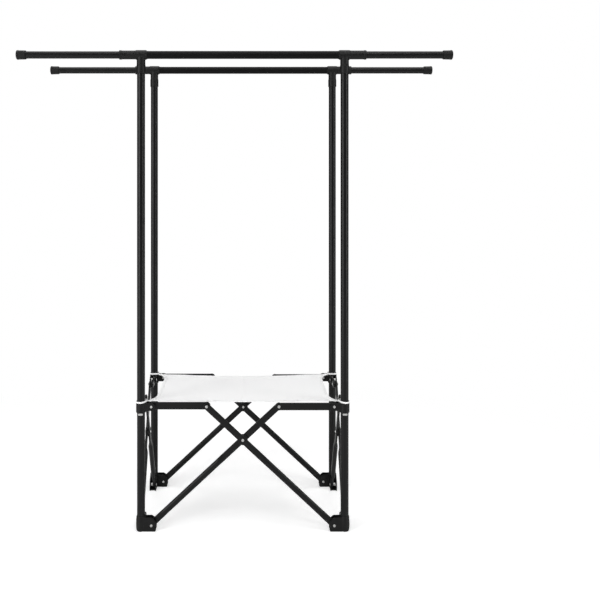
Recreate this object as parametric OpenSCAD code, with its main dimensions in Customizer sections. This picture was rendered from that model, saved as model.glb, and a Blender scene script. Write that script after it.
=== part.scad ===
// Folding clothes rack with two hanging rails, four scissor frames and a cloth shelf.
// X runs along the rails, Y from front to back, Z up. The origin is on the floor,
// under the middle of the whole rack. All sizes are in millimetres.

/* [Overall] */
// Height from the floor to the top of the rail caps
rack_height = 1502; // [1300:1:1700]
// Distance between the left and right post axes when open
post_spacing_x = 637; // [560:1:700]
// Distance between the front and rear post axes when open
post_spacing_y = 340; // [300:1:400]

/* [Tubes] */
// Outer diameter of the posts
post_d = 25; // [22:0.5:28]
// Wall of the post tubes
post_wall = 1.2; // [0.8:0.1:2]
// Outer diameter of the centre rail tubes
rail_d = 24.6; // [23.6:0.1:24.8]
// Wall of the centre rail tubes
rail_wall = 0.5; // [0.4:0.05:0.6]
// Outer diameter of the pull-out rail ends
wing_d = 22.8; // [20:0.1:22.8]
// Wall of the pull-out rail ends
wing_wall = 0.8; // [0.6:0.1:1.2]
// Overall length of each rail, cap to cap
rail_length = 1363; // [1250:1:1450]
// How far the front rail stands to the right of the middle of the posts
front_rail_shift = -26; // [-40:1:40]
// How far the rear rail stands to the right of the middle of the posts
rear_rail_shift = -7; // [-40:1:40]

/* [Scissor frames] */
// Distance from a post axis to the pins of its scissor bars
pin_offset = 33; // [30:1:38]
// Height of the foot pins
foot_pin_z = 18; // [16:1:22]
// Height of the collar pins
collar_pin_z = 388; // [360:1:410]
// Share of a front or rear bar below the crossing
wide_cross_share = 0.7165; // [0.68:0.0005:0.75]
// Share of a side bar below the crossing
side_cross_share = 0.63; // [0.6:0.005:0.66]
// Width of the flattened tube of the bars
bar_w = 20; // [16:0.5:20]
// Thickness of the flattened tube of the bars and links
bar_t = 7; // [6:0.5:7]
// Width of the short links
link_w = 23; // [16:0.5:23]

/* [Cloth shelf] */
// Thickness of the shelf cloth with its hem
cloth_t = 2.6; // [1.5:0.1:4]
// Depth of the curve cut into each side of the shelf
side_curve = 16; // [6:1:30]

/* [Hidden] */
$fn = 48;

black = [0.09, 0.09, 0.1];
steel = [0.72, 0.72, 0.7];
cloth = [0.93, 0.93, 0.93];

// Places of the posts. The rails stand off centre, so the posts do too.
middle_x = -(front_rail_shift + rear_rail_shift) / 2;
left_x = middle_x - post_spacing_x / 2;
right_x = middle_x + post_spacing_x / 2;
front_y = -post_spacing_y / 2;
rear_y = post_spacing_y / 2;
post_r = post_d / 2;

// The rails' ends
rail_end = 60;
wing_insert = 80;
cap_l = 29;
cap_lip = 3;
cap_wall = 2.6;
cap_rim_r = wing_d / 2 + 3.6;
rail_z = rack_height - cap_rim_r;

// The rail fitting
tee_body_r = 15;
tee_sleeve_r = 13.7;
tee_bead_r = 14.5;
tee_inner_end = 19;
tee_body_half = 17;
tee_outer_end = 68;
tee_bead_l = 7;
stem_drop = 59;
stem_ring_drop = 33;
stem_neck_r = 13.5;
stem_ring_r = 14.4;
post_top_gap = 16;
gusset = 4;
gusset_t = 5;
screw_x = 52;

// Clearances
press_gap = 0.05;
running_gap = 0.08;
layer_gap = 0.5;

// The boot on the floor
boot_h = 46;
boot_floor = 6;
lug_reach = 48;
lug_h = 43;
ear_t = 3;
slot_half = bar_t + 1.2;
ear_n = slot_half + ear_t;
web_end = 20;

// The collar
collar_half_h = 15;
collar_r = 15.4;
collar_z = collar_pin_z - 4;
collar_ear_r = 11.8;

// Rivets
pin_r = 2.5;
head_r = 4.2;
head_h = 1.6;
spacer_r = 5.5;
button_w = 15;
button_h = 6;
button_z = collar_z - collar_half_h - button_h / 2 - 0.5;
hub_r = 15.5;
hub_lift = 0.4;

// Front and rear scissor frame, seen from the front, measured between the pins
wide_half = post_spacing_x / 2 - pin_offset;
rise = collar_pin_z - foot_pin_z;
wide_cross_z = rise * wide_cross_share;
wide_angle = atan2(wide_half, wide_cross_z);
wide_bar_l = rise / cos(wide_angle);
wide_link_l = 2 * wide_half - wide_bar_l * sin(wide_angle);

// Side scissor frame, seen from the side
side_half = post_spacing_y / 2 - pin_offset;
side_cross_z = rise * side_cross_share;
side_angle = atan2(side_half, side_cross_z);
side_bar_l = rise / cos(side_angle);
side_link_l = 2 * side_half - side_bar_l * sin(side_angle);

// Shelf
shelf_z = 400;
shelf_edge = 16;
shelf_corner = 42;
shelf_split = 0.4;
tail_w = 11;
tail_l = 66;
tail_x = 48;
tail_turn = 12;
loop_r = 15.2;
loop_wall = 2.2;
loop_h = 5.5;

// Stands a shape drawn in the X-Y plane up into the X-Z plane.
module upright() {
    rotate([90, 0, 0]) children();
}

// Places a frame part at a post, with its own +X towards the middle of the rack.
module at_post(x, y, inward_x, inward_y) {
    translate([x, y, 0]) scale_signs(inward_x, inward_y) children();
}

// Mirrors a shape so that its +X and +Y point along the given signs.
module scale_signs(sign_x, sign_y) {
    mirror([sign_x < 0 ? 1 : 0, 0, 0]) mirror([0, sign_y < 0 ? 1 : 0, 0]) children();
}

// Swaps X and Y, for the lug and pins that face the side frame.
module side_turn() {
    mirror([1, -1, 0]) children();
}

module tube(r, wall, h) {
    difference() {
        cylinder(r = r, h = h);
        translate([0, 0, -1]) cylinder(r = r - wall, h = h + 2);
    }
}

// A slab with rounded long edges, w across X and t across Y.
module soft_section(w, t, r) {
    square([w - 2 * r, t], center = true);
    square([w, t - 2 * r], center = true);
    for (sx = [-1, 1], sy = [-1, 1])
        translate([sx * (w / 2 - r), sy * (t / 2 - r)]) circle(r = r, $fn = 24);
}

// A flattened tube from the pin at [0, 0] up along Z for len, with pressed round ends,
// a hole at each height in holes, and a rivet head on its +Y or -Y face at the far end.
// A round hub surrounds each hole above the first and stands proud of the other face.
module flat_bar(len, w, holes, hinge_side) {
    difference() {
        union() {
            linear_extrude(len) soft_section(w, bar_t, 2.4);
            for (z = [0, len])
                translate([0, 0, z]) rotate([90, 0, 0]) cylinder(r = w / 2, h = bar_t, center = true);
            for (i = [1 : 1 : len(holes) - 1])
                translate([0, -hinge_side * hub_lift / 2, holes[i]]) rotate([90, 0, 0])
                    cylinder(r = hub_r, h = bar_t + hub_lift, center = true);
        }
        for (z = holes)
            translate([0, 0, z]) rotate([90, 0, 0])
                cylinder(r = pin_r + running_gap, h = bar_t + 2, center = true);
    }
    translate([0, hinge_side * (bar_t / 2), len]) rotate([-90 * hinge_side, 0, 0])
        cylinder(r1 = head_r, r2 = head_r - 1, h = head_h);
}

// Steel post between the boot and the rail fitting.
module post(x, y) {
    color(black)
        translate([x, y, boot_floor])
            tube(post_r, post_wall, rail_z - post_top_gap - boot_floor);
}

// One ear of the boot's clevis, drawn in the X-Z plane.
module boot_ear() {
    upright() linear_extrude(ear_t, center = true)
        intersection() {
            translate([8, 0]) square([lug_reach - 8, lug_h]);
            translate([20, 16]) circle(r = 30, $fn = 72);
        }
}

// Clevis that takes the foot of a scissor bar.
module boot_lug() {
    difference() {
        union() {
            for (side = [-1, 1])
                translate([0, side * (slot_half + ear_t / 2), 0]) boot_ear();
            translate([8, -slot_half - 0.5, 0]) cube([web_end - 8, 2 * slot_half + 1, lug_h - 4]);
            translate([8, -slot_half - 0.5, 0]) cube([lug_reach - 14, 2 * slot_half + 1, 5]);
        }
        translate([pin_offset, 0, foot_pin_z]) rotate([90, 0, 0])
            cylinder(r = pin_r + press_gap, h = 2 * ear_n + 2, center = true);
    }
}

// Moulded boot: a bulged socket for the post with one clevis for each scissor frame.
module foot(x, y, inward_x, inward_y) {
    color(black) at_post(x, y, inward_x, inward_y)
        difference() {
            union() {
                rotate_extrude() polygon([
                    [0, 0], [12.4, 0], [14.2, 2.5], [15.4, 12], [15.6, 22],
                    [15.2, 34], [14.4, boot_h - 1.5], [13.6, boot_h], [0, boot_h]
                ]);
                boot_lug();
                side_turn() boot_lug();
            }
            translate([0, 0, boot_floor]) cylinder(r = post_r + press_gap, h = boot_h);
        }
}

// One clevis of the collar, drawn along +X.
module collar_clevis() {
    difference() {
        for (side = [-1, 1])
            translate([0, side * (slot_half + ear_t / 2), 0])
                rotate([90, 0, 0]) linear_extrude(ear_t, center = true) {
                    translate([6, -collar_ear_r]) square([pin_offset - 6, 2 * collar_ear_r]);
                    translate([pin_offset, 0]) circle(r = collar_ear_r);
                }
        rotate([90, 0, 0]) translate([pin_offset, 0, 0])
            cylinder(r = pin_r + press_gap, h = 2 * ear_n + 2, center = true);
    }
}

// Collar on the post that carries the short links of both frames.
module collar(x, y, inward_x, inward_y) {
    color(black) at_post(x, y, inward_x, inward_y)
        difference() {
            union() {
                translate([0, 0, collar_z - collar_half_h]) rotate_extrude() polygon([
                    [0, 0], [collar_r - 1, 0], [collar_r, 1.5],
                    [collar_r, 2 * collar_half_h - 1.5], [collar_r - 1, 2 * collar_half_h],
                    [0, 2 * collar_half_h]
                ]);
                translate([0, 0, collar_pin_z]) collar_clevis();
                translate([0, 0, collar_pin_z]) side_turn() collar_clevis();
            }
            translate([0, 0, collar_z - collar_half_h - 1])
                cylinder(r = post_r + press_gap, h = 2 * collar_half_h + 6);
        }
}

// Rail fitting: a stem over the post and a long sleeve that the rail slides through.
module tee(x, y, outward) {
    color(black) translate([x, y, rail_z]) scale_signs(outward, 1)
        difference() {
            union() {
                rotate([0, 90, 0]) translate([0, 0, -tee_inner_end]) rotate_extrude() polygon([
                    [0, 0], [tee_sleeve_r - 0.8, 0], [tee_sleeve_r, 1],
                    [tee_sleeve_r, tee_inner_end - tee_body_half],
                    [tee_body_r, tee_inner_end - tee_body_half + 1.2],
                    [tee_body_r, tee_inner_end + tee_body_half - 1.2],
                    [tee_sleeve_r, tee_inner_end + tee_body_half],
                    [tee_sleeve_r, tee_inner_end + tee_outer_end - tee_bead_l - 1],
                    [tee_bead_r, tee_inner_end + tee_outer_end - tee_bead_l],
                    [tee_bead_r, tee_inner_end + tee_outer_end - 1],
                    [tee_bead_r - 1, tee_inner_end + tee_outer_end], [0, tee_inner_end + tee_outer_end]
                ]);
                translate([0, 0, -stem_drop]) rotate_extrude() polygon([
                    [0, 0], [stem_ring_r - 0.8, 0], [stem_ring_r, 1],
                    [stem_ring_r, stem_drop - stem_ring_drop - 1],
                    [stem_neck_r, stem_drop - stem_ring_drop + 1],
                    [stem_neck_r, stem_drop - 2], [0, stem_drop - 2]
                ]);
                for (side = [-1, 1])
                    scale_signs(side, 1) upright() linear_extrude(gusset_t, center = true)
                        polygon([[8, -8], [8, -11.5 - gusset], [13, -11.5 - gusset],
                                 [13 + gusset, -11.5], [13 + gusset, -8]]);
            }
            rotate([0, 90, 0]) cylinder(r = rail_d / 2 + running_gap, h = 4 * tee_outer_end, center = true);
            translate([0, 0, -stem_drop - 1])
                cylinder(r = post_r + press_gap, h = stem_drop - post_top_gap + 1.5);
        }
}

// Screw head that locks the rail in the sleeve, with a coin slot across it.
module lock_screw(x, y, outward, face) {
    color(black) translate([x + outward * screw_x, y + face * (tee_sleeve_r + 0.35), rail_z])
        rotate([-90 * face, 0, 0])
            difference() {
                rotate_extrude() polygon([[0, 0], [4.6, 0], [4.6, 1.2], [3.9, 2], [0, 2.2]]);
                translate([-5, -0.6, 1.4]) cube([10, 1.2, 2]);
            }
}

// One rivet along Y with a head on each end and a spacer in the empty layer at its side.
module pin_with_spacer(spacer_side) {
    rotate([90, 0, 0]) cylinder(r = pin_r, h = 2 * ear_n, center = true);
    for (side = [-1, 1])
        translate([0, side * ear_n, 0]) rotate([-90 * side, 0, 0])
            cylinder(r1 = head_r, r2 = head_r - 1.2, h = head_h);
    translate([0, spacer_side * (layer_gap + bar_t / 2 + 0.2), 0]) rotate([90, 0, 0])
        cylinder(r = spacer_r, h = bar_t, center = true);
}

// Flat steel button under the collar, bent round the -Y face of the post.
module stop_button() {
    difference() {
        rotate([90, 0, 0]) linear_extrude(post_r + 1.6) {
            square([button_w - button_h, button_h], center = true);
            for (side = [-1, 1])
                translate([side * (button_w - button_h) / 2, 0]) circle(r = button_h / 2, $fn = 24);
        }
        cylinder(r = post_r + press_gap, h = 3 * button_h, center = true);
    }
}

// The four pins of one post and the button in the post that carries the collar.
// A post's bar and its link lie in the same layer, so the spacers fill the other one.
module rivets(x, y, inward_x, inward_y, wide_layer, side_layer) {
    color(steel) translate([x, y, 0]) {
        for (z = [foot_pin_z, collar_pin_z]) {
            translate([inward_x * pin_offset, 0, z]) pin_with_spacer(-wide_layer);
            translate([0, inward_y * pin_offset, z]) rotate([0, 0, -90]) pin_with_spacer(-side_layer);
        }
        translate([0, 0, button_z]) scale_signs(1, inward_y) stop_button();
    }
}

// White tape loop of the shelf round a post.
module loop(x, y) {
    color(cloth) translate([x, y, shelf_z]) difference() {
        cylinder(r = loop_r, h = loop_h);
        translate([0, 0, -1]) cylinder(r = loop_r - loop_wall, h = loop_h + 2);
    }
}

// A bar of the front or rear frame. lean is +1 when its foot is on the left,
// and layer is the side of the frame's own plane that it lies on.
module wide_bar(y, lean, layer) {
    x = lean > 0 ? left_x + pin_offset : right_x - pin_offset;
    color(black) translate([x, y + layer * (layer_gap + bar_t / 2), foot_pin_z])
        rotate([0, lean * wide_angle, 0])
            flat_bar(wide_bar_l, bar_w, [0, wide_bar_l * wide_cross_share], layer);
}

// A bar of a side frame. lean is +1 when its foot is at the front.
module side_bar(x, lean, layer) {
    y = lean > 0 ? front_y + pin_offset : rear_y - pin_offset;
    color(black) translate([x + layer * (layer_gap + bar_t / 2), y, foot_pin_z])
        rotate([-lean * side_angle, 0, 0]) rotate([0, 0, -90])
            flat_bar(side_bar_l, bar_w, [0, side_bar_l * side_cross_share], layer);
}

// A short link of the front or rear frame, level at rest.
module wide_link(y, inward, layer) {
    x = inward > 0 ? left_x + pin_offset : right_x - pin_offset;
    color(black) translate([x, y + layer * (layer_gap + bar_t / 2), collar_pin_z])
        rotate([0, inward * 90, 0])
            flat_bar(wide_link_l, link_w, [0], layer);
}

// A short link of a side frame, level at rest.
module side_link(x, inward, layer) {
    y = inward > 0 ? front_y + pin_offset : rear_y - pin_offset;
    color(black) translate([x + layer * (layer_gap + bar_t / 2), y, collar_pin_z])
        rotate([-inward * 90, 0, 0]) rotate([0, 0, -90])
            flat_bar(side_link_l, link_w, [0], layer);
}

// Rivet through the crossing of two bars, along Y.
module cross_rivet() {
    reach = layer_gap + bar_t + 0.35;
    color(steel) {
        rotate([90, 0, 0]) cylinder(r = pin_r, h = 2 * reach, center = true);
        for (side = [-1, 1])
            translate([0, side * reach, 0]) rotate([-90 * side, 0, 0])
                cylinder(r1 = head_r + 0.4, r2 = head_r - 0.8, h = head_h + 0.3);
    }
}

// Centre tube of a rail, through both of its fittings.
module rail(y) {
    color(black) translate([left_x - rail_end, y, rail_z]) rotate([0, 90, 0])
        tube(rail_d / 2, rail_wall, post_spacing_x + 2 * rail_end);
}

// Tip of a rail, where its cap ends.
function rail_tip(shift, side) = middle_x + shift + side * rail_length / 2;

// Pull-out end of a rail, inside the centre tube for part of its length.
module wing(y, shift, side) {
    start = (side < 0 ? left_x : right_x) + side * (rail_end - wing_insert);
    length = abs(rail_tip(shift, side) - start) - cap_lip;
    color(black) translate([start, y, rail_z]) rotate([0, side * 90, 0])
        tube(wing_d / 2, wing_wall, length);
}

// Flared end cap with a rounded rim.
module cap(y, shift, side) {
    r = wing_d / 2;
    color(black) translate([rail_tip(shift, side), y, rail_z]) rotate([0, -side * 90, 0])
        rotate_extrude() polygon([
            [0, 0], [r + 1.6, 0], [r + 3, 1], [cap_rim_r, 3], [r + 3.3, 5.5], [r + 2.9, 8],
            [r + cap_wall, cap_l - 1.5], [r + cap_wall - 0.8, cap_l],
            [r + press_gap, cap_l], [r + press_gap, cap_lip], [0, cap_lip]
        ]);
}

// One half of the cloth shelf, from the left collar line to the ridge in the middle.
module shelf_half() {
    half_x = post_spacing_x / 2;
    half_y = post_spacing_y / 2 - shelf_edge;
    curve_r = (half_y * half_y + side_curve * side_curve) / (2 * side_curve);
    color(cloth) translate([0, 0, shelf_z]) linear_extrude(cloth_t)
        difference() {
            union() {
                translate([-half_x + shelf_corner, -half_y])
                    square([half_x - shelf_corner - shelf_split, 2 * half_y]);
                for (side = [-1, 1])
                    translate([-half_x + tail_x, side * (half_y + 1)]) rotate(-side * tail_turn)
                        square([tail_l, tail_w], center = true);
            }
            intersection() {
                translate([-half_x + shelf_corner + side_curve - curve_r, 0])
                    circle(r = curve_r, $fn = 160);
                square([post_spacing_x, 2 * half_y - tail_w], center = true);
            }
        }
}

module shelf_left() { translate([middle_x, 0, 0]) shelf_half(); }
module shelf_right() { translate([middle_x, 0, 0]) mirror([1, 0, 0]) shelf_half(); }

// In the front and rear frames the bar that stands on the right foot is in front.
// In the side frames the bar that stands on the front foot is on the outside.
front_layer = -1;
rear_layer = 1;

post(left_x, front_y);  // post_fl
post(right_x, front_y);  // post_fr
post(left_x, rear_y);  // post_rl
post(right_x, rear_y);  // post_rr
foot(left_x, front_y, 1, 1);  // foot_fl
foot(right_x, front_y, -1, 1);  // foot_fr
foot(left_x, rear_y, 1, -1);  // foot_rl
foot(right_x, rear_y, -1, -1);  // foot_rr
collar(left_x, front_y, 1, 1);  // collar_fl
collar(right_x, front_y, -1, 1);  // collar_fr
collar(left_x, rear_y, 1, -1);  // collar_rl
collar(right_x, rear_y, -1, -1);  // collar_rr
tee(left_x, front_y, -1);  // tee_fl
tee(right_x, front_y, 1);  // tee_fr
tee(left_x, rear_y, -1);  // tee_rl
tee(right_x, rear_y, 1);  // tee_rr
rivets(left_x, front_y, 1, 1, rear_layer, -1);  // rivets_fl
rivets(right_x, front_y, -1, 1, front_layer, 1);  // rivets_fr
rivets(left_x, rear_y, 1, -1, rear_layer, 1);  // rivets_rl
rivets(right_x, rear_y, -1, -1, front_layer, -1);  // rivets_rr
loop(left_x, front_y);  // loop_fl
loop(right_x, front_y);  // loop_fr
loop(left_x, rear_y);  // loop_rl
loop(right_x, rear_y);  // loop_rr
lock_screw(left_x, front_y, -1, -1);  // lock_screw_fl
lock_screw(right_x, front_y, 1, -1);  // lock_screw_fr
lock_screw(left_x, rear_y, -1, 1);  // lock_screw_rl
lock_screw(right_x, rear_y, 1, 1);  // lock_screw_rr
wide_bar(front_y, 1, rear_layer);  // front_bar_left
wide_bar(front_y, -1, front_layer);  // front_bar_right
wide_bar(rear_y, 1, rear_layer);  // rear_bar_left
wide_bar(rear_y, -1, front_layer);  // rear_bar_right
side_bar(left_x, 1, -1);  // left_bar_front
side_bar(left_x, -1, 1);  // left_bar_rear
side_bar(right_x, 1, 1);  // right_bar_front
side_bar(right_x, -1, -1);  // right_bar_rear
wide_link(front_y, 1, rear_layer);  // front_link_left
wide_link(front_y, -1, front_layer);  // front_link_right
wide_link(rear_y, 1, rear_layer);  // rear_link_left
wide_link(rear_y, -1, front_layer);  // rear_link_right
side_link(left_x, 1, -1);  // left_link_front
side_link(left_x, -1, 1);  // left_link_rear
side_link(right_x, 1, 1);  // right_link_front
side_link(right_x, -1, -1);  // right_link_rear
translate([middle_x, front_y, foot_pin_z + wide_cross_z]) cross_rivet();  // cross_rivet_front
translate([middle_x, rear_y, foot_pin_z + wide_cross_z]) cross_rivet();  // cross_rivet_rear
translate([left_x, 0, foot_pin_z + side_cross_z]) rotate([0, 0, 90]) cross_rivet();  // cross_rivet_left
translate([right_x, 0, foot_pin_z + side_cross_z]) rotate([0, 0, 90]) cross_rivet();  // cross_rivet_right
rail(front_y);  // front_rail
rail(rear_y);  // rear_rail
wing(front_y, front_rail_shift, -1);  // front_wing_left
wing(front_y, front_rail_shift, 1);  // front_wing_right
wing(rear_y, rear_rail_shift, -1);  // rear_wing_left
wing(rear_y, rear_rail_shift, 1);  // rear_wing_right
cap(front_y, front_rail_shift, -1);  // cap_fl
cap(front_y, front_rail_shift, 1);  // cap_fr
cap(rear_y, rear_rail_shift, -1);  // cap_rl
cap(rear_y, rear_rail_shift, 1);  // cap_rr
shelf_left();
shelf_right();
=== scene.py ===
"""Dresses a folding clothes rack: black tubes and fittings, steel rivets and a white cloth shelf.

The rack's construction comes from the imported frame. This script gives every tube, fitting and
rivet its finish. It makes the cloth shelf with its hems and stitching, the tape loops round the
posts, the oval scissor bars with the hubs at their crossings, and the domed rivets of the upper
hinges.
"""

import logging
import math
from dataclasses import dataclass
from enum import Enum

import bmesh
import bpy
import numpy as np
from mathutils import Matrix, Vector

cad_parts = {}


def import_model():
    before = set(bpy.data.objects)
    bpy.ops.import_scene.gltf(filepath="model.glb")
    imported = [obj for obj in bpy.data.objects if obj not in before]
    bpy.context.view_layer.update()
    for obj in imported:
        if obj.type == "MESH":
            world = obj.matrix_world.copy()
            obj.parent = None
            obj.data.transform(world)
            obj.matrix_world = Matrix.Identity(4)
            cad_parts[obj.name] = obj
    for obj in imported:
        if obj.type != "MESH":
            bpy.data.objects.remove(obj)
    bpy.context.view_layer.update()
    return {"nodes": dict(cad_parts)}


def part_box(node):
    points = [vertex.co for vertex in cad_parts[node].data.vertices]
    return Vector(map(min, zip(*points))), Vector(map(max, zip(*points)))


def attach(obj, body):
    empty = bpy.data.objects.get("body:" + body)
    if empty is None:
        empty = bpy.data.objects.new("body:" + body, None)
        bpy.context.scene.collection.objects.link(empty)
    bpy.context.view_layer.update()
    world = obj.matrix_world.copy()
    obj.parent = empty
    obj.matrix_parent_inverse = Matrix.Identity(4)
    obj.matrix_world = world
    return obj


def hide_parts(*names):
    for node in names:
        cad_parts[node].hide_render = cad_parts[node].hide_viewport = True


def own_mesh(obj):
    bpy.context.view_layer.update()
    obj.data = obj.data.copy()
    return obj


LOG = logging.getLogger("clothes_rack")
MM = 0.001
UP = np.array([0.0, 0.0, 1.0])
WHITE = (1.0, 1.0, 1.0, 1.0)


class Corner(Enum):
    """A post of the rack."""

    FRONT_LEFT = ("fl", "frame_front_left", (1, 1))
    FRONT_RIGHT = ("fr", "frame_front_right", (-1, 1))
    REAR_LEFT = ("rl", "frame_rear_left", (1, -1))
    REAR_RIGHT = ("rr", "frame_rear_right", (-1, -1))

    def __init__(self, code: str, body: str, inward: tuple[int, int]) -> None:
        """Names the parts of a corner's value.

        Args:
            code: the short name used in the node names.
            body: the body that carries this post.
            inward: signs of the X and Y directions towards the middle of the rack.
        """
        self.code = code
        self.body = body
        self.inward = inward


class Side(Enum):
    """A half of the shelf."""

    LEFT = ("left", -1)
    RIGHT = ("right", 1)

    def __init__(self, label: str, sign: int) -> None:
        """Names the parts of a side's value.

        Args:
            label: the word used in the node and body names.
            sign: sign of the outward X direction.
        """
        self.label = label
        self.sign = sign


def float_group(name: str, inputs: dict[str, float], outputs: tuple[str, ...]) -> tuple[
        bpy.types.NodeTree, bpy.types.Node, bpy.types.Node]:
    """Makes an empty node group whose sockets are all numbers.

    Args:
        name: the group's name.
        inputs: its inputs with their default values.
        outputs: its outputs.

    Returns:
        The group, its input node and its output node.
    """
    group = bpy.data.node_groups.new(name, "ShaderNodeTree")
    for title, value in inputs.items():
        made = group.interface.new_socket(name=title, in_out="INPUT", socket_type="NodeSocketFloat")
        made.default_value = value
    for title in outputs:
        group.interface.new_socket(name=title, in_out="OUTPUT", socket_type="NodeSocketFloat")
    return group, group.nodes.new("NodeGroupInput"), group.nodes.new("NodeGroupOutput")


def add_node(tree: bpy.types.NodeTree, kind: str, operation: str = "", **values: float) -> bpy.types.Node:
    """Adds a shader node.

    Args:
        tree: the tree that it goes into.
        kind: the node's type, without the ShaderNode that it starts with.
        operation: its operation, where it has one.
        values: constants for its inputs, by name, with an underscore for a space.

    Returns:
        The node.
    """
    node = tree.nodes.new("ShaderNode" + kind)
    if operation:
        node.operation = operation
    for name, value in values.items():
        node.inputs[name.replace("_", " ")].default_value = value
    return node


def tone_mix(tree: bpy.types.NodeTree, dark: tuple[float, float, float],
             light: tuple[float, float, float]) -> bpy.types.Node:
    """Adds a node that mixes two colours.

    Args:
        tree: the tree that it goes into.
        dark: the colour at factor 0.
        light: the colour at factor 1.

    Returns:
        The node.
    """
    mix = add_node(tree, "Mix")
    mix.data_type = "RGBA"
    mix.inputs["A"].default_value = (*dark, 1.0)
    mix.inputs["B"].default_value = (*light, 1.0)
    return mix


def speckle_group() -> bpy.types.NodeTree:
    """Builds the group of fine surface grain shared by the paint, plastic and zinc finishes.

    Returns:
        A group that puts out a height for bump, a roughness and a slow mottling mask.
    """
    group, given, put = float_group("surface_grain",
                                    {"Grain Scale": 900.0, "Roughness": 0.4, "Roughness Spread": 0.1},
                                    ("Height", "Roughness", "Mottle"))
    links = group.links
    place = add_node(group, "TexCoord")
    grain = add_node(group, "TexNoise", Detail=3.0)
    slow = add_node(group, "TexNoise", Scale=14.0, Detail=4.0)
    spread = add_node(group, "Math", "MULTIPLY_ADD")
    centre = add_node(group, "Math", "SUBTRACT")
    centre.inputs[1].default_value = 0.5
    links.new(place.outputs["Object"], grain.inputs["Vector"])
    links.new(place.outputs["Object"], slow.inputs["Vector"])
    links.new(given.outputs["Grain Scale"], grain.inputs["Scale"])
    links.new(slow.outputs["Fac"], centre.inputs[0])
    links.new(centre.outputs[0], spread.inputs[0])
    links.new(given.outputs["Roughness Spread"], spread.inputs[1])
    links.new(given.outputs["Roughness"], spread.inputs[2])
    links.new(grain.outputs["Fac"], put.inputs["Height"])
    links.new(spread.outputs[0], put.inputs["Roughness"])
    links.new(slow.outputs["Fac"], put.inputs["Mottle"])
    return group


def weave_group() -> bpy.types.NodeTree:
    """Builds the plain weave: two families of threads that pass over and under each other.

    The threads run along the piece's UV map, which is in metres. The height is the product of a
    sine across each family, so that threads rise and dive by turns.

    Returns:
        A group that puts out the weave's height and a slow unevenness mask.
    """
    group, given, put = float_group("plain_weave", {"Threads Per Metre": 1100.0}, ("Height", "Unevenness"))
    links = group.links
    place = add_node(group, "TexCoord")
    scale = add_node(group, "VectorMath", "SCALE")
    split = add_node(group, "SeparateXYZ")
    links.new(place.outputs["UV"], scale.inputs[0])
    links.new(given.outputs["Threads Per Metre"], scale.inputs["Scale"])
    links.new(scale.outputs["Vector"], split.inputs[0])
    cross = add_node(group, "Math", "MULTIPLY")
    for number, axis in enumerate("XY"):
        turn = add_node(group, "Math", "MULTIPLY")
        turn.inputs[1].default_value = math.pi
        wave = add_node(group, "Math", "SINE")
        links.new(split.outputs[axis], turn.inputs[0])
        links.new(turn.outputs[0], wave.inputs[0])
        links.new(wave.outputs[0], cross.inputs[number])
    uneven = add_node(group, "TexNoise", Scale=22.0, Detail=5.0)
    links.new(place.outputs["Object"], uneven.inputs["Vector"])
    links.new(cross.outputs[0], put.inputs["Height"])
    links.new(uneven.outputs["Fac"], put.inputs["Unevenness"])
    return group


def new_material(name: str) -> tuple[bpy.types.Material, bpy.types.Node]:
    """Makes an empty node material.

    Args:
        name: the material's name.

    Returns:
        The material and its Principled BSDF.
    """
    material = bpy.data.materials.new(name)
    material.use_nodes = True
    return material, material.node_tree.nodes["Principled BSDF"]


@dataclass(frozen=True)
class Finish:
    """What every finish of the rack has: two tones that a mask mixes, and a bumped surface."""

    name: str
    dark: tuple[float, float, float]
    light: tuple[float, float, float]
    bump_distance: float

    def surface(self, group: bpy.types.NodeTree, mask: str, strength: float) -> tuple[
            bpy.types.Material, bpy.types.Node, bpy.types.Node]:
        """Makes the material, and wires a shared group to its colour and its bump.

        Args:
            group: the shared group, which puts out a height.
            mask: the group's output that mixes the tones.
            strength: the strength of the bump.

        Returns:
            The material, its Principled BSDF and the group's node.
        """
        material, shader = new_material(self.name)
        tree = material.node_tree
        shared = add_node(tree, "Group")
        shared.node_tree = group
        tint = tone_mix(tree, self.dark, self.light)
        bump = add_node(tree, "Bump", Strength=strength, Distance=self.bump_distance)
        tree.links.new(shared.outputs[mask], tint.inputs["Factor"])
        tree.links.new(shared.outputs["Height"], bump.inputs["Height"])
        tree.links.new(tint.outputs["Result"], shader.inputs["Base Color"])
        tree.links.new(bump.outputs["Normal"], shader.inputs["Normal"])
        return material, shader, shared


@dataclass(frozen=True)
class GrainedFinish(Finish):
    """A hard finish with a fine grain: powder coat, moulded plastic or zinc plate."""

    roughness: float
    spread: float
    grain_scale: float
    metallic: float = 0.0
    specular: float = 0.5

    def build(self, grain: bpy.types.NodeTree) -> bpy.types.Material:
        """Builds the material.

        Args:
            grain: the shared grain group.

        Returns:
            The finished material.
        """
        material, shader, speckle = self.surface(grain, mask="Mottle", strength=0.6)
        speckle.inputs["Grain Scale"].default_value = self.grain_scale
        speckle.inputs["Roughness"].default_value = self.roughness
        speckle.inputs["Roughness Spread"].default_value = self.spread
        material.node_tree.links.new(speckle.outputs["Roughness"], shader.inputs["Roughness"])
        shader.inputs["Metallic"].default_value = self.metallic
        shader.inputs["Specular IOR Level"].default_value = self.specular
        return material


@dataclass(frozen=True)
class WovenFinish(Finish):
    """A white woven cloth or tape. Its glow is painted light: an emission that makes it brighter than the
    lamps do, though it is no lamp.
    """

    threads_per_metre: float
    glow: float = 0.0

    def build(self, weave: bpy.types.NodeTree) -> bpy.types.Material:
        """Builds the material.

        Args:
            weave: the shared weave group.

        Returns:
            The finished material.
        """
        material, shader, threads = self.surface(weave, mask="Unevenness", strength=0.5)
        threads.inputs["Threads Per Metre"].default_value = self.threads_per_metre
        shader.inputs["Roughness"].default_value = 0.85
        shader.inputs["Specular IOR Level"].default_value = 0.25
        shader.inputs["Sheen Weight"].default_value = 0.15
        # Painted light: a white emission that brightens the cloth or tape, though it is no lamp.
        shader.inputs["Emission Color"].default_value = WHITE
        shader.inputs["Emission Strength"].default_value = self.glow
        return material


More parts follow.
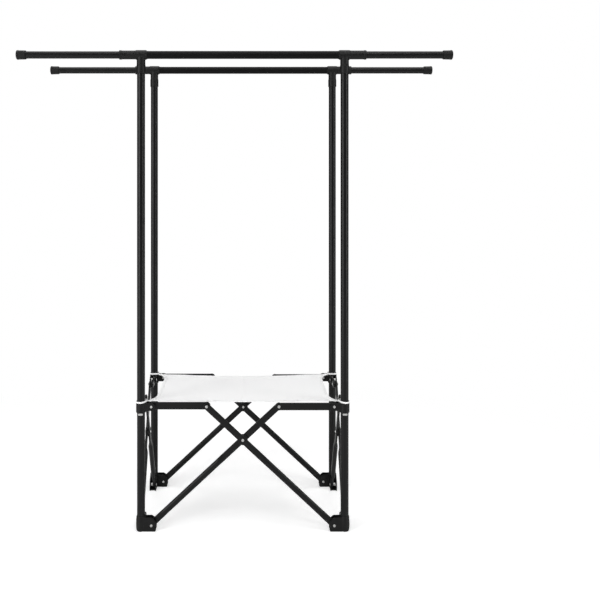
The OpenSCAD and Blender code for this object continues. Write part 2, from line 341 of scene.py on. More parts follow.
@dataclass
class Finishes:
    """Every material of the rack, built once."""

    tube_paint: bpy.types.Material
    rail_paint: bpy.types.Material
    plastic: bpy.types.Material
    zinc: bpy.types.Material
    cloth: bpy.types.Material
    tape: bpy.types.Material
    thread: bpy.types.Material

    @classmethod
    def make(cls) -> "Finishes":
        """Builds the node groups and the materials.

        Returns:
            The set of finishes.
        """
        grain = speckle_group()
        weave = weave_group()
        coat = GrainedFinish("black_powder_coat", (0.0040, 0.0040, 0.0042), (0.0065, 0.0065, 0.0068),
                             roughness=0.33, spread=0.12, grain_scale=1400.0, bump_distance=0.05 * MM,
                             specular=0.22)
        # A darker, matter copy of the tube paint for the rails. The matte surface is the rails' own; the
        # darker tone is painted shade, where the rails show no highlight.
        rail = GrainedFinish("black_rail_coat_painted_shade", (0.0028, 0.0028, 0.0029), (0.0046, 0.0046, 0.0048),
                             roughness=0.50, spread=0.10, grain_scale=1600.0, bump_distance=0.04 * MM,
                             specular=0.10)
        plastic = GrainedFinish("black_moulded_plastic", (0.0035, 0.0035, 0.0035), (0.0060, 0.0060, 0.0060),
                                roughness=0.48, spread=0.14, grain_scale=700.0, bump_distance=0.12 * MM,
                                specular=0.24)
        zinc = GrainedFinish("zinc_rivet", (0.52, 0.52, 0.51), (0.70, 0.70, 0.69),
                             roughness=0.36, spread=0.20, grain_scale=500.0, bump_distance=0.08 * MM,
                             metallic=0.9)
        # The glow of the cloth and of the edge tape is painted light that brightens them.
        cloth = WovenFinish("white_shelf_cloth", (0.80, 0.80, 0.805), (0.85, 0.85, 0.85),
                            threads_per_metre=1100.0, bump_distance=0.25 * MM, glow=0.22)
        tape = WovenFinish("white_edge_tape", (0.82, 0.82, 0.82), (0.88, 0.88, 0.88),
                           threads_per_metre=1500.0, bump_distance=0.3 * MM, glow=0.15)
        thread = WovenFinish("white_sewing_thread", (0.70, 0.70, 0.70), (0.80, 0.80, 0.80),
                             threads_per_metre=2500.0, bump_distance=0.1 * MM)
        return cls(coat.build(grain), rail.build(grain), plastic.build(grain), zinc.build(grain),
                   cloth.build(weave), tape.build(weave), thread.build(weave))


def mesh_piece(name: str, points: np.ndarray, quads: np.ndarray, material: bpy.types.Material,
               uv: np.ndarray | None = None, smooth: bool = True) -> bpy.types.Object:
    """Makes a mesh object from whole arrays.

    Args:
        name: the piece's name.
        points: vertices, N by 3, in metres.
        quads: vertex numbers of the faces, M by 4.
        material: the piece's material.
        uv: UV coordinates of the vertices, N by 2, in metres.
        smooth: whether the faces shade smoothly.

    Returns:
        The new object, at the origin.
    """
    mesh = bpy.data.meshes.new(name)
    mesh.from_pydata(points.tolist(), [], quads.tolist())
    mesh.polygons.foreach_set("use_smooth", np.full(len(mesh.polygons), smooth))
    if uv is not None:
        layer = mesh.uv_layers.new(name="cloth_uv")
        corner = np.empty(len(mesh.loops), dtype=np.int32)
        mesh.loops.foreach_get("vertex_index", corner)
        layer.data.foreach_set("uv", uv[corner].astype(np.float32).ravel())
    mesh.materials.append(material)
    mesh.update()
    piece = bpy.data.objects.new(name, mesh)
    bpy.context.scene.collection.objects.link(piece)
    return piece


def grid_quads(rows: int, columns: int, wrap_rows: bool = False, wrap_columns: bool = False) -> np.ndarray:
    """Numbers the quads of a grid of points stored row by row.

    Args:
        rows: number of rows of points.
        columns: number of points in a row.
        wrap_rows: whether the last row joins the first.
        wrap_columns: whether the last column joins the first.

    Returns:
        Vertex numbers, M by 4.
    """
    row = np.arange(rows if wrap_rows else rows - 1)[:, None]
    column = np.arange(columns if wrap_columns else columns - 1)[None, :]
    next_row = (row + 1) % rows
    next_column = (column + 1) % columns
    parts = (row * columns + column, row * columns + next_column,
             next_row * columns + next_column, next_row * columns + column)
    return np.stack([np.broadcast_to(p, (row.size, column.size)).ravel() for p in parts], axis=1)


def sweep(path: np.ndarray, inward: np.ndarray, profile: np.ndarray, closed: bool) -> tuple:
    """Carries a flat profile along a path.

    A point of the swept surface is the path's point, plus the profile's first number along the
    inward direction, plus its second number along Z.

    Args:
        path: points of the path, N by 3.
        inward: unit directions across the path, N by 3.
        profile: points of the closed profile, M by 2.
        closed: whether the path closes on itself.

    Returns:
        The points, the quads and the UV coordinates.
    """
    points = path[:, None, :] + profile[None, :, :1] * inward[:, None, :] + profile[None, :, 1:] * UP
    count, around = len(path), len(profile)
    quads = grid_quads(count, around, wrap_rows=closed, wrap_columns=True)
    step = np.linalg.norm(np.diff(path, axis=0, prepend=path[:1]), axis=1).cumsum()
    turn = np.linalg.norm(np.diff(profile, axis=0, prepend=profile[:1]), axis=1).cumsum()
    uv = np.stack(np.broadcast_arrays(step[:, None], turn[None, :]), axis=-1).reshape(-1, 2)
    return points.reshape(-1, 3), quads, uv


def superellipse(half_width: float | np.ndarray, half_height: float | np.ndarray,
                 power: float | np.ndarray, count: int) -> np.ndarray:
    """Outlines rounded boxes and ovals.

    Args:
        half_width: half size along the first axis, as a number or as N by 1.
        half_height: half size along the second axis, likewise.
        power: how square the outline is, likewise; 2 is an ellipse.
        count: number of points in an outline.

    Returns:
        Points, count by 2 or N by count by 2.
    """
    angle = np.linspace(0.0, 2.0 * math.pi, count, endpoint=False)
    cos, sin = np.cos(angle), np.sin(angle)
    across = np.sign(cos) * np.abs(cos) ** (2.0 / power) * half_width
    high = np.sign(sin) * np.abs(sin) ** (2.0 / power) * half_height
    return np.stack([across, high], axis=-1)


def turned(centre: np.ndarray, axis: np.ndarray, first: np.ndarray, radius: np.ndarray,
           height: np.ndarray, count: int) -> tuple[np.ndarray, np.ndarray]:
    """Turns an outline round an axis, as on a lathe.

    Args:
        centre: the point of the axis that heights are measured from.
        axis: unit direction of the axis.
        first: unit direction across the axis in which each ring starts.
        radius: the outline's distances from the axis.
        height: the outline's heights along the axis.
        count: number of points in a ring.

    Returns:
        The points and the quads. Both ends are open.
    """
    angle = np.linspace(0.0, 2.0 * math.pi, count, endpoint=False)[None, :, None]
    outward = np.cos(angle) * first + np.sin(angle) * np.cross(axis, first)
    points = centre + height[:, None, None] * axis + radius[:, None, None] * outward
    return points.reshape(-1, 3), grid_quads(len(radius), count, wrap_columns=True)


def seal(piece: bpy.types.Object) -> None:
    """Closes a piece's open ends and turns its faces outwards.

    Args:
        piece: the mesh object.
    """
    work = bmesh.new()
    work.from_mesh(piece.data)
    bmesh.ops.holes_fill(work, edges=[edge for edge in work.edges if edge.is_boundary], sides=0)
    bmesh.ops.recalc_face_normals(work, faces=work.faces)
    work.to_mesh(piece.data)
    work.free()


@dataclass
class RackPlaces:
    """Places that the pieces are worked out from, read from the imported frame.

    The cloth's front and rear edges lie inside the posts' axes by the inset.
    """

    left_x: float
    right_x: float
    front_y: float
    rear_y: float
    post_r: float
    collar_top: float
    shelf_low: float
    inset: float = 16 * MM

    @classmethod
    def read(cls) -> "RackPlaces":
        """Measures the nodes of the frame.

        Returns:
            The places, in metres.
        """
        def middle(node: str) -> tuple[float, float]:
            """Finds the centre of a node's box.

            Args:
                node: the node's name.

            Returns:
                X and Y, in metres.
            """
            low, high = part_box(node)
            return (low[0] + high[0]) / 2, (low[1] + high[1]) / 2

        left_x, front_y = middle("post_fl")
        right_x, rear_y = middle("post_rr")
        low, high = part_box("post_fl")
        post_r = (high[0] - low[0]) / 2
        collar_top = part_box("collar_fl")[1][2]
        shelf_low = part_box("shelf_left")[0][2]
        return cls(left_x, right_x, front_y, rear_y, post_r, collar_top, shelf_low)

    @property
    def middle_x(self) -> float:
        """X of the middle between the posts."""
        return (self.left_x + self.right_x) / 2

    @property
    def middle_y(self) -> float:
        """Y of the middle between the posts."""
        return (self.front_y + self.rear_y) / 2

    def post(self, corner: Corner) -> tuple[float, float]:
        """Finds a post's axis.

        Args:
            corner: which post.

        Returns:
            X and Y, in metres.
        """
        sign_x, sign_y = corner.inward
        return (self.left_x if sign_x > 0 else self.right_x,
                self.front_y if sign_y > 0 else self.rear_y)


@dataclass
class ClothShelf:
    """The white cloth shelf, made as two halves that meet at the middle crease."""

    places: RackPlaces
    finishes: Finishes
    corner_x: float = 43 * MM
    side_curve: float = 2.5 * MM
    tip_x: float = 18.5 * MM
    tip_y: float = 7 * MM
    tip_share: float = 0.66
    edge_sag: float = 4.2 * MM
    middle_sag: float = 0.8 * MM
    rear_sag: float = 2.2 * MM
    lift: float = 1.3 * MM
    pull_rise: float = 0.7 * MM
    pull_turns: float = 46.0
    pull_slant: float = 0.45
    crease_drop: float = 0.2 * MM
    crease_share: float = 0.05
    wave_rise: float = 0.35 * MM
    wave_turns: tuple[float, float, float] = (7.0, 2.0, 5.0)
    push_power: int = 6
    column_power: float = 1.35
    cloth_t: float = 1.0 * MM
    hem_half_w: float = 6.0 * MM
    hem_half_t: float = 1.1 * MM
    hem_overhang: float = 1.5 * MM
    hem_spacing: float = 5.0 * MM
    thread_r: float = 0.35 * MM
    thread_seat: float = 0.86
    stitch_l: float = 2.6 * MM
    stitch_gap: float = 4.2 * MM
    stitch_inset: float = 9.5 * MM
    columns: int = 60
    rows: int = 81
    folded_depth: float = 152.5 * MM
    link_room: float = 10.5 * MM

    @property
    def half_y(self) -> float:
        """Half of the shelf's depth."""
        return (self.places.rear_y - self.places.front_y) / 2 - self.places.inset

    @property
    def half_x(self) -> float:
        """Distance from the middle to a post's axis."""
        return (self.places.right_x - self.places.left_x) / 2

    @property
    def fold_keep(self) -> float:
        """Share of its depth that the cloth keeps, so that it passes between the folded links."""
        reach = self.half_y + self.tip_y + self.hem_overhang
        return (self.folded_depth / 2 - self.link_room) / reach

    @property
    def fold_anchor_y(self) -> float:
        """Y that stays put while the cloth draws together, which centres it between the folded posts."""
        folded_middle = self.places.front_y + self.folded_depth / 2
        return (folded_middle - self.fold_keep * self.places.middle_y) / (1.0 - self.fold_keep)

    def outer_edge(self, share: np.ndarray) -> tuple[np.ndarray, np.ndarray]:
        """Finds the side edge: a shallow curve that runs out to a point at each corner.

        The distance from the post's axis is the corner's, plus the curve times one minus the
        square of the share, less a square law past tip_share that reaches out to the tape loop.

        Args:
            share: -1 at the front edge and +1 at the rear edge.

        Returns:
            Distance of the edge inward from the post line, and how far Y is pushed outward.
        """
        tip = np.clip((np.abs(share) - self.tip_share) / (1.0 - self.tip_share), 0.0, 1.0) ** 2
        distance = self.corner_x + self.side_curve * (1.0 - share ** 2) - (self.corner_x - self.tip_x) * tip
        return distance, np.sign(share) * self.tip_y * tip

    def height(self, across: np.ndarray, share: np.ndarray) -> np.ndarray:
        """Finds the height of the cloth: tight at the corners, with a shallow sag and faint pull folds.

        The sag grows towards the crease as the square of a sine. The pull folds are a sine along
        the slanted share, which dies out with the square of the distance from the post line and
        the cube of the share. The crease is a narrow bell curve. The wave is a slow sine times a
        cosine.

        Args:
            across: 0 at the post line and 1 at the middle crease.
            share: -1 at the front edge and +1 at the rear edge.

        Returns:
            Heights in metres.
        """
        hang = np.sin(across * math.pi / 2) ** 2
        sag = self.edge_sag * hang + self.middle_sag * hang * (1.0 - share ** 2)
        pull = (1.0 - across) ** 2 * np.abs(share) ** 3
        folds = self.pull_rise * np.sin(self.pull_turns * (np.abs(share) - self.pull_slant * across)) * pull
        crease = self.crease_drop * np.exp(-((1.0 - across) / self.crease_share) ** 2)
        rear_drop = self.rear_sag * hang * np.clip(share, 0.0, 1.0) ** 2
        inward, skew, deep = self.wave_turns
        wave = self.wave_rise * np.sin(inward * across + skew * share) * np.cos(deep * share)
        return self.places.shelf_low + self.lift - sag - rear_drop + folds + wave - crease

    def surface(self, u: np.ndarray, v: np.ndarray, side: Side) -> np.ndarray:
        """Finds points of the cloth from two parameters.

        X runs from the side edge to the crease with u, and Y from front to rear with v. Y is
        pushed outwards at the tips, by a high power of the distance from the crease.

        Args:
            u: 0 at the side edge and 1 at the middle crease.
            v: -1 at the front edge and +1 at the rear edge.
            side: which half.

        Returns:
            Points with a last axis of three.
        """
        edge, push = self.outer_edge(v)
        inward = edge + (self.half_x - edge) * u
        x = self.places.middle_x + side.sign * (self.half_x - inward)
        y = self.places.middle_y + v * self.half_y + push * (1.0 - u) ** self.push_power
        z = self.height(inward / self.half_x, v)
        return np.stack([x, y, z], axis=-1)

    def cloth(self, side: Side) -> bpy.types.Object:
        """Makes one half of the cloth as a closed thin sheet.

        Its columns stand closer together by the side edge and its rows by the front and rear.

        Args:
            side: which half.

        Returns:
            The cloth.
        """
        u = np.linspace(0.0, 1.0, self.columns) ** self.column_power
        v = np.sin(np.linspace(-1.0, 1.0, self.rows) * math.pi / 2)
        grid_v, grid_u = np.meshgrid(v, u, indexing="ij")
        points = self.surface(grid_u, grid_v, side).reshape(-1, 3)
        quads = grid_quads(self.rows, self.columns)
        if side is Side.RIGHT:
            quads = quads[:, ::-1]
        plan = points[:, :2].copy()
        piece = mesh_piece(f"shelf_cloth_{side.label}", points, quads, self.finishes.cloth, plan)
        solid = piece.modifiers.new("cloth_thickness", "SOLIDIFY")
        solid.thickness = self.cloth_t
        solid.offset = 0.0
        rim = piece.modifiers.new("flat_rim", "WEIGHTED_NORMAL")
        rim.weight = 100
        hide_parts(f"shelf_{side.label}")
        return piece

    def edge_path(self, side: Side, inset: float, spacing: float) -> tuple[np.ndarray, np.ndarray]:
        """Finds the path along the front, side and rear edges, a given distance inside them.

        Args:
            side: which half.
            inset: distance from the edge, in metres.
            spacing: about how far apart the points are.

        Returns:
            Points of the path and unit inward directions, N by 3 each.
        """
        long = int((self.half_x - self.corner_x) / spacing)
        deep = int(2 * self.half_y / spacing)
        ahead = np.linspace(1.0, 0.0, long)
        over = np.sin(np.linspace(-1.0, 1.0, deep + 2)[1:-1] * math.pi / 2)
        u = np.concatenate([ahead, np.zeros(deep), ahead[::-1]])
        v = np.concatenate([-np.ones(long), over, np.ones(long)])
        rim = self.surface(u, v, side)
        along = np.gradient(rim, axis=0)
        along[:, 2] = 0.0
        along /= np.linalg.norm(along, axis=1, keepdims=True)
        across = np.stack([-along[:, 1], along[:, 0], np.zeros(len(along))], axis=1) * side.sign
        return rim + across * inset, across

    def hem(self, side: Side) -> bpy.types.Object:
        """Makes the folded edge tape round three sides of a half.

        Args:
            side: which half.

        Returns:
            The tape.
        """
        path, inward = self.edge_path(side, self.hem_half_w - self.hem_overhang, self.hem_spacing)
        profile = superellipse(self.hem_half_w, self.hem_half_t, power=4.0, count=16)
        points, quads, uv = sweep(path, inward, profile, closed=False)
        piece = mesh_piece(f"shelf_hem_{side.label}", points, quads, self.finishes.tape, uv)
        seal(piece)
        return piece

    def stitches(self, side: Side) -> bpy.types.Object:
        """Makes the row of stitches along the hem: short raised bars on top of the tape.

        A stitch is a half circle of thread, carried along its length and narrowed at both ends.

        Args:
            side: which half.

        Returns:
            The stitches, as one piece.
        """
        path, inward = self.edge_path(side, self.stitch_inset - self.hem_overhang, self.stitch_gap)
        path, inward = path[2:-2], inward[2:-2]
        along = np.cross(inward, UP)
        angle = np.linspace(0.0, math.pi, 5)
        ring = np.stack([np.cos(angle), np.sin(angle)], axis=1) * self.thread_r
        ends = np.array([-0.5, -0.3, 0.3, 0.5]) * self.stitch_l
        swell = np.array([0.35, 1.0, 1.0, 0.35])
        seat = np.array([0.0, self.hem_half_t * self.thread_seat])
        shape = seat + ring[None, :, :] * swell[:, None, None]
        points = (path[:, None, None, :] + ends[None, :, None, None] * along[:, None, None, :]
                  + shape[None, :, :, :1] * inward[:, None, None, :] + shape[None, :, :, 1:] * UP)
        points = points.reshape(-1, 3)
        one = grid_quads(len(ends), len(angle), wrap_columns=True)
        first = np.arange(len(path)) * len(ends) * len(angle)
        quads = (one[None, :, :] + first[:, None, None]).reshape(-1, 4)
        piece = mesh_piece(f"shelf_stitches_{side.label}", points, quads, self.finishes.thread,
                           points[:, :2].copy())
        seal(piece)
        return piece

    def build(self) -> None:
        """Makes both halves, each on the body of its half of the shelf."""
        for side in Side:
            body = f"shelf_{side.label}"
            for piece in (self.cloth(side), self.hem(side), self.stitches(side)):
                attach(piece, body)
                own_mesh(piece)
                LOG.info("made %s on %s", piece.name, body)


@dataclass
class TapeLoops:
    """The tape loops that hold the shelf's corners round the posts, just above the collars."""

    places: RackPlaces
    finishes: Finishes
    tape_h: float = 5.2 * MM
    tape_t: float = 1.5 * MM
    slack: float = 0.9 * MM
    rise: float = 2.2 * MM
    tip: float = 21 * MM
    tip_power: int = 14
    aim_degrees: float = 32.0
    collar_gap: float = 0.5 * MM
    around: int = 72

    def loop(self, corner: Corner) -> bpy.types.Object:
        """Makes one loop: a circle round the post, drawn out to a point towards the shelf's corner.

        The radius is the post's plus the slack, and grows towards the shelf's corner as a high
        power of the cosine of half the angle from it. The loop tilts up towards the shelf.

        Args:
            corner: which post.

        Returns:
            The loop.
        """
        x, y = self.places.post(corner)
        sign_x, sign_y = corner.inward
        angle = np.linspace(0.0, 2.0 * math.pi, self.around, endpoint=False)
        aim = math.radians(self.aim_degrees)
        near = self.places.post_r + self.slack + self.tape_t
        pull = np.cos((angle - aim) / 2) ** 2
        radius = near + (self.tip - near) * pull ** self.tip_power
        outward = np.stack([np.cos(angle) * sign_x, np.sin(angle) * sign_y, np.zeros(self.around)], axis=1)
        path = np.array([x, y, 0.0]) + outward * radius[:, None]
        path[:, 2] = self.places.collar_top + self.tape_h / 2 + self.collar_gap + self.rise * (pull - 0.5)
        profile = superellipse(self.tape_t / 2, self.tape_h / 2, power=5.0, count=14)
        points, quads, uv = sweep(path, -outward, profile, closed=True)
        piece = mesh_piece(f"tape_loop_{corner.code}", points, quads, self.finishes.tape, uv)
        seal(piece)
        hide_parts(f"loop_{corner.code}")
        return piece

    def build(self) -> None:
        """Makes the four loops, each on its own post."""
        for corner in Corner:
            piece = self.loop(corner)
            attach(piece, corner.body)
            LOG.info("made %s on %s", piece.name, corner.body)


class FrameKind(Enum):
    """A kind of scissor frame, wide at the front and rear or narrow at the sides."""

    WIDE = (0, (74 * MM, 108 * MM))
    SIDE = (1, (46 * MM, 72 * MM))

    def __init__(self, axis: int, flat: tuple[float, float]) -> None:
        """Names the parts of a kind's value.

        Args:
            axis: 0 where the frame runs along X and 1 where it runs along Y.
            flat: distances below the crossing at which a bar is still flat and is fully oval.
        """
        self.axis = axis
        self.flat = flat


@dataclass
class ScissorTubes:
    """The scissor bars: oval tubes, pressed flat at the foot and from the crossing to the hinge."""

    places: RackPlaces
    finishes: Finishes
    layer: float = 4.0 * MM
    half_width: float = 10 * MM
    flat_half: float = 3.5 * MM
    oval_half: float = 7.8 * MM
    oval_narrowing: float = 0.03
    flat_power: float = 5.0
    oval_power: float = 2.4
    tip_half: float = 0.4 * MM
    tip_thinning: float = 0.8 * MM
    foot_flat: tuple[float, float] = (32 * MM, 62 * MM)
    hub_r: float = 15.5 * MM
    hub_half: float = 3.55 * MM
    hub_core_r: float = 0.3 * MM
    tip_rows: int = 9
    rows: int = 120
    around: int = 36
    hub_around: int = 56

    @staticmethod
    def kind_of(node: str) -> FrameKind:
        """Tells a front or rear frame from a side frame.

        Args:
            node: the bar's node.

        Returns:
            The kind of frame, from how the node's name starts.
        """
        return FrameKind.WIDE if node.startswith(("front", "rear")) else FrameKind.SIDE

    def pins(self, node: str) -> tuple[np.ndarray, np.ndarray, np.ndarray]:
        """Finds a bar's foot pin and upper hinge from its box, whose ends are round.

        Args:
            node: the bar's node.

        Returns:
            The foot pin, the upper hinge and the direction across the frame on the bar's side.
        """
        kind = self.kind_of(node)
        low, high = (np.array(corner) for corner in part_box(node))
        along, across = kind.axis, 1 - kind.axis
        starts_low = node.endswith(("_left", "_front"))
        near, far = (low, high) if starts_low else (high, low)
        inset = self.half_width if starts_low else -self.half_width
        if kind is FrameKind.WIDE:
            plane = self.places.front_y if node.startswith("front") else self.places.rear_y
        else:
            plane = self.places.left_x if node.startswith("left") else self.places.right_x
        side = np.zeros(3)
        side[across] = 1.0 if (low[across] + high[across]) / 2 > plane else -1.0
        foot = np.zeros(3)
        hinge = np.zeros(3)
        foot[along], foot[2] = near[along] + inset, low[2] + self.half_width
        hinge[along], hinge[2] = far[along] - inset, high[2] - self.half_width
        foot[across] = hinge[across] = plane + side[across] * self.layer
        return foot, hinge, side

    def crossing(self, node: str, foot: np.ndarray, hinge: np.ndarray) -> float:
        """Finds how far from the foot pin a bar crosses its partner, midway between the posts.

        Args:
            node: the bar's node.
            foot: the foot pin.
            hinge: the upper hinge.

        Returns:
            The distance along the bar, in metres.
        """
        along = self.kind_of(node).axis
        middle = (self.places.middle_x, self.places.middle_y)[along]
        share = (middle - foot[along]) / (hinge[along] - foot[along])
        return share * float(np.linalg.norm(hinge - foot))

    def bar(self, node: str) -> bpy.types.Object:
        """Makes one bar.

        Along its length the section is a superellipse that blends from a flat rounded box to an
        oval. The blend is a smooth step of the distance from the nearer pressed part. Past each
        pin the width follows a half circle.

        Args:
            node: the bar's node.

        Returns:
            The bar.
        """
        foot, hinge, side = self.pins(node)
        half = self.half_width
        length = float(np.linalg.norm(hinge - foot))
        way = (hinge - foot) / length
        cross = self.crossing(node, foot, hinge)
        begin, done = self.kind_of(node).flat
        foot_begin, foot_done = self.foot_flat
        turn = np.linspace(0.0, math.pi / 2, self.tip_rows)
        middle = np.linspace(0.0, length, self.rows)
        station = np.concatenate([-half * np.cos(turn[:-1]), middle, length + half * np.sin(turn[1:])])
        from_cross = np.clip((cross - station - begin) / (done - begin), 0.0, 1.0)
        from_foot = np.clip((station - foot_begin) / (foot_done - foot_begin), 0.0, 1.0)
        swell = np.minimum(from_cross, from_foot)
        swell = swell * swell * (3.0 - 2.0 * swell)
        over = np.clip(np.maximum(-station, station - length), 0.0, half) / half
        width = np.maximum(half * np.sqrt(1.0 - over ** 2), self.tip_half)
        width = width * (1.0 - self.oval_narrowing * swell)
        depth = self.flat_half + (self.oval_half - self.flat_half) * swell - self.tip_thinning * over ** 4
        power = self.flat_power + (self.oval_power - self.flat_power) * swell
        section = superellipse(width[:, None], depth[:, None], power[:, None], self.around)
        sideways = np.cross(way, side)
        points = foot + station[:, None, None] * way + section[..., :1] * sideways + section[..., 1:] * side
        quads = grid_quads(len(station), self.around, wrap_columns=True)
        piece = mesh_piece(f"scissor_{node}", points.reshape(-1, 3), quads, self.finishes.tube_paint)
        seal(piece)
        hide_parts(node)
        return piece

    def hub(self, node: str) -> bpy.types.Object:
        """Makes the plastic hub of a bar at the crossing: a turned disc with a rounded rim.

        Args:
            node: the bar's node.

        Returns:
            The hub.
        """
        foot, hinge, side = self.pins(node)
        way = (hinge - foot) / np.linalg.norm(hinge - foot)
        centre = foot + way * self.crossing(node, foot, hinge)
        rounding = np.array([1.0, 0.3, 0.0]) * MM
        lower_r = np.concatenate([[self.hub_core_r], self.hub_r - rounding])
        rise = np.array([1.0, 1.0, 0.92, 0.72]) * self.hub_half
        radius = np.concatenate([lower_r, lower_r[::-1]])
        height = np.concatenate([-rise, rise[::-1]])
        points, quads = turned(centre, side, way, radius, height, self.hub_around)
        piece = mesh_piece(f"crossing_hub_{node}", points, quads, self.finishes.plastic)
        seal(piece)
        return piece

    def build(self, nodes: list[str]) -> None:
        """Makes every bar with its hub.

        Args:
            nodes: the bars' nodes.
        """
        for node in nodes:
            for piece in (self.bar(node), self.hub(node)):
                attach(piece, node)
                LOG.info("made %s on %s", piece.name, node)


@dataclass
class HingeRivets:
    """Rivets of the upper hinges, where each bar meets its short link."""

    finishes: Finishes
    nodes: dict[str, bpy.types.Object]
    head_r: float = 4.3 * MM
    dome: float = 1.19 * MM
    dimple_r: tuple[float, float] = (0.9 * MM, 0.35 * MM)
    dimple_h: tuple[float, float] = (1.054 * MM, 0.85 * MM)
    skirt: float = 1.55 * MM
    lift: float = 0.1 * MM
    face_slack: float = 0.05 * MM
    around: int = 28

    def head_of(self, node: str) -> tuple[np.ndarray, np.ndarray]:
        """Finds the rivet head on a bar or link: the part that stands proud of its flat face.

        Args:
            node: the bar's or link's node.

        Returns:
            The middle of the head's top, and the direction that it faces.
        """
        mesh = self.nodes[node].data
        points = np.empty(len(mesh.vertices) * 3)
        mesh.vertices.foreach_get("co", points)
        points = points.reshape(-1, 3)
        low, high = points.min(axis=0), points.max(axis=0)
        axis = int(np.argmin(high - low))
        upper_face = points[points[:, axis] > high[axis] - self.face_slack]
        lower_face = points[points[:, axis] < low[axis] + self.face_slack]
        upper_is_head = np.ptp(upper_face, axis=0).max() < np.ptp(lower_face, axis=0).max()
        head = upper_face if upper_is_head else lower_face
        facing = np.zeros(3)
        facing[axis] = 1.0 if upper_is_head else -1.0
        return (head.min(axis=0) + head.max(axis=0)) / 2, facing

    def rivet(self, node: str) -> bpy.types.Object:
        """Makes one domed rivet head over the head of the CAD node.

        Its radius follows a cosine and its height a sine from the rim to the top, with a straight
        skirt below the rim and a dimple in the middle.

        Args:
            node: the bar's or link's node.

        Returns:
            The rivet head.
        """
        top, facing = self.head_of(node)
        climb = np.linspace(0.0, math.pi / 2, 7)[1:-1]
        radius = np.concatenate([[self.head_r, self.head_r], self.head_r * np.cos(climb), self.dimple_r])
        height = np.concatenate([[-self.skirt, 0.0], self.dome * np.sin(climb), self.dimple_h])
        across = np.roll(np.abs(facing), 1)
        points, quads = turned(top + facing * self.lift, facing, across, radius, height, self.around)
        piece = mesh_piece(f"hinge_rivet_{node}", points, quads, self.finishes.zinc)
        seal(piece)
        return piece

    def build(self, names: list[str]) -> None:
        """Makes a rivet head on each bar and link.

        Args:
            names: the nodes of the bars and links.
        """
        for node in names:
            piece = self.rivet(node)
            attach(piece, node)
            LOG.info("made %s on %s", piece.name, node)


@dataclass
class HardwareDress:
    """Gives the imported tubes, fittings and rivets their finishes."""

    finishes: Finishes

    def finish_of(self, node: str) -> bpy.types.Material:
        """Chooses the finish of a node by how its name starts.

        Args:
            node: the node's name.

        Returns:
            The material. What has no other finish has the paint of the tubes.
        """
        starts = (
            (("rivets", "cross_rivet"), self.finishes.zinc),
            (("foot", "collar", "tee", "cap", "lock_screw"), self.finishes.plastic),
            # The rails take the darker copy of the tube paint, whose darker tone is painted shade.
            (("front_rail", "rear_rail"), self.finishes.rail_paint),
            (("shelf", "loop"), self.finishes.cloth),
        )
        for words, material in starts:
            if node.startswith(words):
                return material
        return self.finishes.tube_paint

    def build(self, nodes: dict[str, bpy.types.Object]) -> None:
        """Puts each node's finish into all of its material slots.

        Args:
            nodes: the frame's objects by node name.
        """
        for name, piece in nodes.items():
            material = self.finish_of(name)
            if not piece.material_slots:
                piece.data.materials.append(material)
            for slot in piece.material_slots:
                slot.material = material
            LOG.info("dressed %s", name)


@dataclass(frozen=True)
class Lamp:
    """A rectangular lamp: its place, the point that it looks at, its width and height, its watts."""

    name: str
    place: tuple[float, float, float]
    aim: tuple[float, float, float]
    size: tuple[float, float]
    power: float

    def build(self) -> None:
        """Adds the lamp to the scene and turns it to its point."""
        data = bpy.data.lights.new(self.name, "AREA")
        data.shape = "RECTANGLE"
        data.size, data.size_y = self.size
        data.energy = self.power
        lamp = bpy.data.objects.new(self.name, data)
        lamp.location = self.place
        way = np.array(self.aim) - np.array(self.place)
        flat = math.hypot(way[0], way[1])
        lamp.rotation_euler = (math.atan2(flat, -way[2]), 0.0, math.atan2(way[1], way[0]) - math.pi / 2)
        bpy.context.scene.collection.objects.link(lamp)


LAMPS = (
    Lamp("left_window", place=(-2.9, -2.4, 1.3), aim=(0.0, 0.0, 0.8), size=(1.3, 2.6), power=84.0),
    Lamp("right_window", place=(3.2, -1.7, 1.3), aim=(0.0, 0.0, 0.8), size=(0.8, 2.6), power=50.0),
    Lamp("high_front", place=(0.2, -3.4, 3.7), aim=(0.0, 0.0, 0.6), size=(2.4, 0.8), power=42.0),
    Lamp("ceiling", place=(0.0, 0.0, 4.2), aim=(0.0, 0.0, 0.0), size=(3.4, 3.4), power=84.0),
)


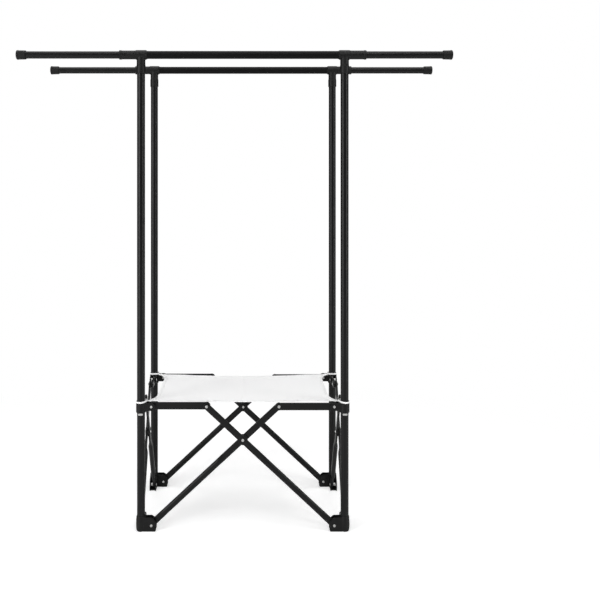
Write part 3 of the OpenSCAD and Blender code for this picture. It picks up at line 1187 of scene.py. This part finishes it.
@dataclass
class Studio:
    """Camera, lamps, white world and the floor that takes the soft shadow."""

    places: RackPlaces
    photo_px: float = 600.0
    middle_px: float = 242.8
    horizon_px: float = 177.0
    mm_per_px: float = 3.13
    depth_ratio: float = 0.874
    eye_aside: float = 0.013
    eye_height: float = 1.105
    sensor_mm: float = 36.0
    room_level: float = 0.12
    far_clip: float = 60.0
    floor_half: float = 14.0
    floor_glow: float = 0.39
    fade_start: float = 0.75
    fade_end: float = 1.7

    def camera(self) -> None:
        """Places a level camera whose shift puts the rack where the photograph has it."""
        depth = self.places.rear_y - self.places.front_y
        distance = depth * self.depth_ratio / (1.0 - self.depth_ratio)
        data = bpy.data.cameras.new("camera")
        data.sensor_width = self.sensor_mm
        data.lens = distance / (self.mm_per_px * MM) * self.sensor_mm / self.photo_px
        middle_px = self.middle_px + self.eye_aside / (self.mm_per_px * MM)
        data.shift_x = (self.photo_px / 2 - middle_px) / self.photo_px
        data.shift_y = -(self.photo_px / 2 - self.horizon_px) / self.photo_px
        data.clip_end = self.far_clip
        eye = bpy.data.objects.new("camera", data)
        eye.location = (self.places.middle_x + self.eye_aside, self.places.front_y - distance,
                        self.eye_height)
        eye.rotation_euler = (math.pi / 2, 0.0, 0.0)
        bpy.context.scene.collection.objects.link(eye)
        bpy.context.scene.camera = eye

    def world(self) -> None:
        """Sets a white world that is pure white to the camera and soft in what it lights."""
        world = bpy.data.worlds.new("white_room")
        bpy.context.scene.world = world
        world.use_nodes = True
        links = world.node_tree.links
        background = world.node_tree.nodes["Background"]
        background.inputs["Color"].default_value = WHITE
        path = add_node(world.node_tree, "LightPath")
        level = add_node(world.node_tree, "Mix", A=self.room_level, B=1.0)
        links.new(path.outputs["Is Camera Ray"], level.inputs["Factor"])
        links.new(level.outputs["Result"], background.inputs["Strength"])

    def floor(self) -> None:
        """Lays a wide white floor that keeps a faint shadow under the boots.

        Away from the rack the camera sees it fade to plain white.
        """
        corners = np.array([[-1, -1, 0], [1, -1, 0], [1, 1, 0], [-1, 1, 0]]) * self.floor_half
        material, shader = new_material("white_floor")
        tree = material.node_tree
        links = tree.links
        tone = add_node(tree, "TexNoise", Scale=0.6)
        paint = tone_mix(tree, (0.90, 0.90, 0.90), (0.92, 0.92, 0.92))
        place = add_node(tree, "TexCoord")
        path = add_node(tree, "LightPath")
        glow = add_node(tree, "Math", "MULTIPLY")
        glow.inputs[1].default_value = self.floor_glow
        away = add_node(tree, "VectorMath", "LENGTH")
        fade = add_node(tree, "MapRange", From_Min=self.fade_start, From_Max=self.fade_end)
        fade.interpolation_type = "SMOOTHSTEP"
        seen = add_node(tree, "Math", "MULTIPLY")
        white = add_node(tree, "Emission")
        blend = add_node(tree, "MixShader")
        links.new(place.outputs["Object"], tone.inputs["Vector"])
        links.new(place.outputs["Object"], away.inputs[0])
        links.new(away.outputs["Value"], fade.inputs["Value"])
        links.new(fade.outputs["Result"], seen.inputs[0])
        links.new(path.outputs["Is Camera Ray"], seen.inputs[1])
        links.new(seen.outputs[0], blend.inputs[0])
        links.new(shader.outputs["BSDF"], blend.inputs[1])
        links.new(white.outputs["Emission"], blend.inputs[2])
        links.new(blend.outputs["Shader"], tree.nodes["Material Output"].inputs["Surface"])
        links.new(tone.outputs["Fac"], paint.inputs["Factor"])
        links.new(paint.outputs["Result"], shader.inputs["Base Color"])
        links.new(path.outputs["Is Camera Ray"], glow.inputs[0])
        links.new(glow.outputs[0], shader.inputs["Emission Strength"])
        shader.inputs["Emission Color"].default_value = WHITE
        shader.inputs["Roughness"].default_value = 0.9
        shader.inputs["Specular IOR Level"].default_value = 0.1
        floor = mesh_piece("floor", corners, np.arange(4)[None, :], material, smooth=False)

    def build(self) -> None:
        """Sets up the whole studio."""
        scene = bpy.context.scene
        scene.view_settings.view_transform = "Standard"
        self.camera()
        self.world()
        self.floor()
        for lamp in LAMPS:
            lamp.build()
        LOG.info("set up the studio with %d lamps", len(LAMPS))


def main() -> None:
    """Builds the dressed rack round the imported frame."""
    logging.basicConfig(level=logging.INFO, format="%(name)s: %(message)s")
    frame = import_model()
    nodes = frame["nodes"]
    hinged = [name for name in nodes if "_bar_" in name or "_link_" in name]
    places = RackPlaces.read()
    Studio(places).build()
    finishes = Finishes.make()
    HardwareDress(finishes).build(nodes)
    ClothShelf(places, finishes).build()
    TapeLoops(places, finishes).build()
    HingeRivets(finishes, nodes).build(hinged)
    ScissorTubes(places, finishes).build([name for name in hinged if "_bar_" in name])


if __name__ == "__main__":
    main()
